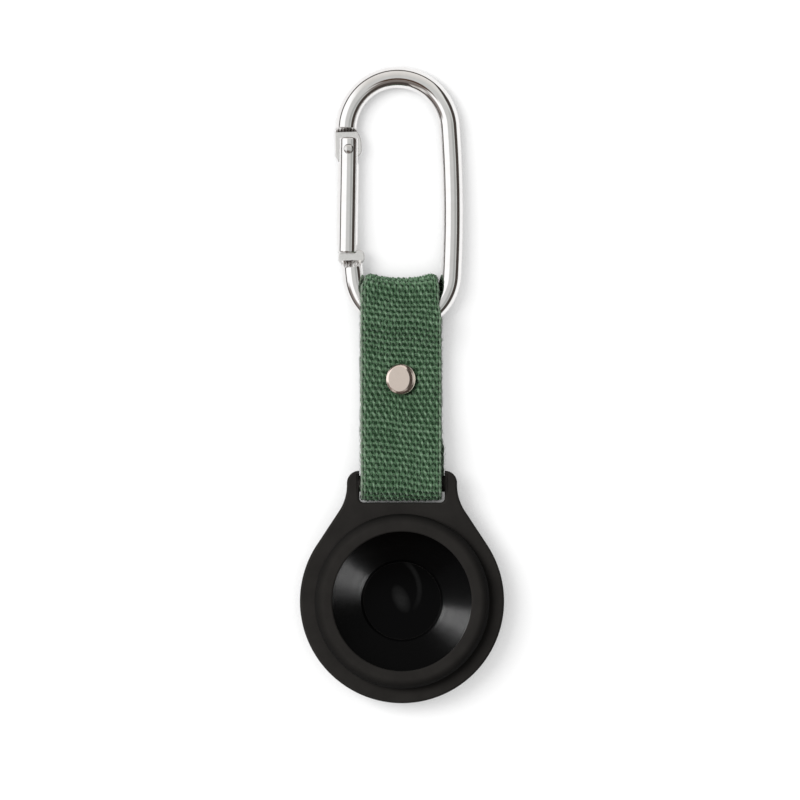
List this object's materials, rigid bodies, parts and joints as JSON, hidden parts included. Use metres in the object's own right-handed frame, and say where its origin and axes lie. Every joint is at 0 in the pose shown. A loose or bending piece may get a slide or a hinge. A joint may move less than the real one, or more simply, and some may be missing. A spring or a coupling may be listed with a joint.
{
  "type": "tracker clip",
  "caption": "Black moulded holder for a coin-type tracker on a riveted green webbing strap with a chromed wire carabiner.",
  "frame": {"origin": "middle of the whole clip's outline, at the level of the table it lies on", "axes": "+X to the right of the front, +Y from the holder to the carabiner, +Z out of the front"},
  "size_m": [0.0402, 0.1252, 0.0106],
  "materials": {
    "black_rubber": "matt moulded outside, glossy pocket",
    "green_webbing": "coarse plain weave",
    "nickel": "bright nickel plate",
    "chrome": "bright chrome plate",
    "steel": "plain"
  },
  "bodies": {
    "holder": {"tag_holder": "black_rubber"},
    "strap": {"strap": "green_webbing", "rivet_front_cap": "nickel", "rivet_post": "nickel", "rivet_back_cap": "nickel", "rivet_socket": "nickel"},
    "carabiner": {"carabiner_frame": "chrome"},
    "gate": {"gate_tube": "chrome", "gate_pin": "steel", "gate_spring": "steel"},
    "plunger": {"spring_plunger": "steel"}
  },
  "joints": [
    {"name": "strap_swing", "type": "hinge", "parent": "holder", "child": "strap", "pos_m": [0, -0.01939, 0.0053], "axis": [1, 0, 0], "range_deg": [-90, 90]},
    {"name": "carabiner_swing", "type": "hinge", "parent": "strap", "child": "carabiner", "pos_m": [0, 0.01674, 0.00375], "axis": [1, 0, 0], "range_deg": [-90, 90], "deforming": ["strap"]},
    {"name": "gate_open", "type": "hinge", "parent": "carabiner", "child": "gate", "pos_m": [-0.01051, 0.04648, 0.00263], "axis": [0, 0.0378, 0.9993], "range_deg": [0, 50], "stiffness_Nm_per_rad": 0.04, "springref_deg": -28.65},
    {"name": "plunger_slide", "type": "slide", "parent": "gate", "child": "plunger", "axis": [-0.0052, -0.9993, 0.0378], "range_m": [0, 0.0009], "deforming": ["gate_spring"]}
  ],
  "couplings": [
    {"joint": "plunger_slide", "follows": "gate_open", "m_per_rad": 0.00095}
  ]
}
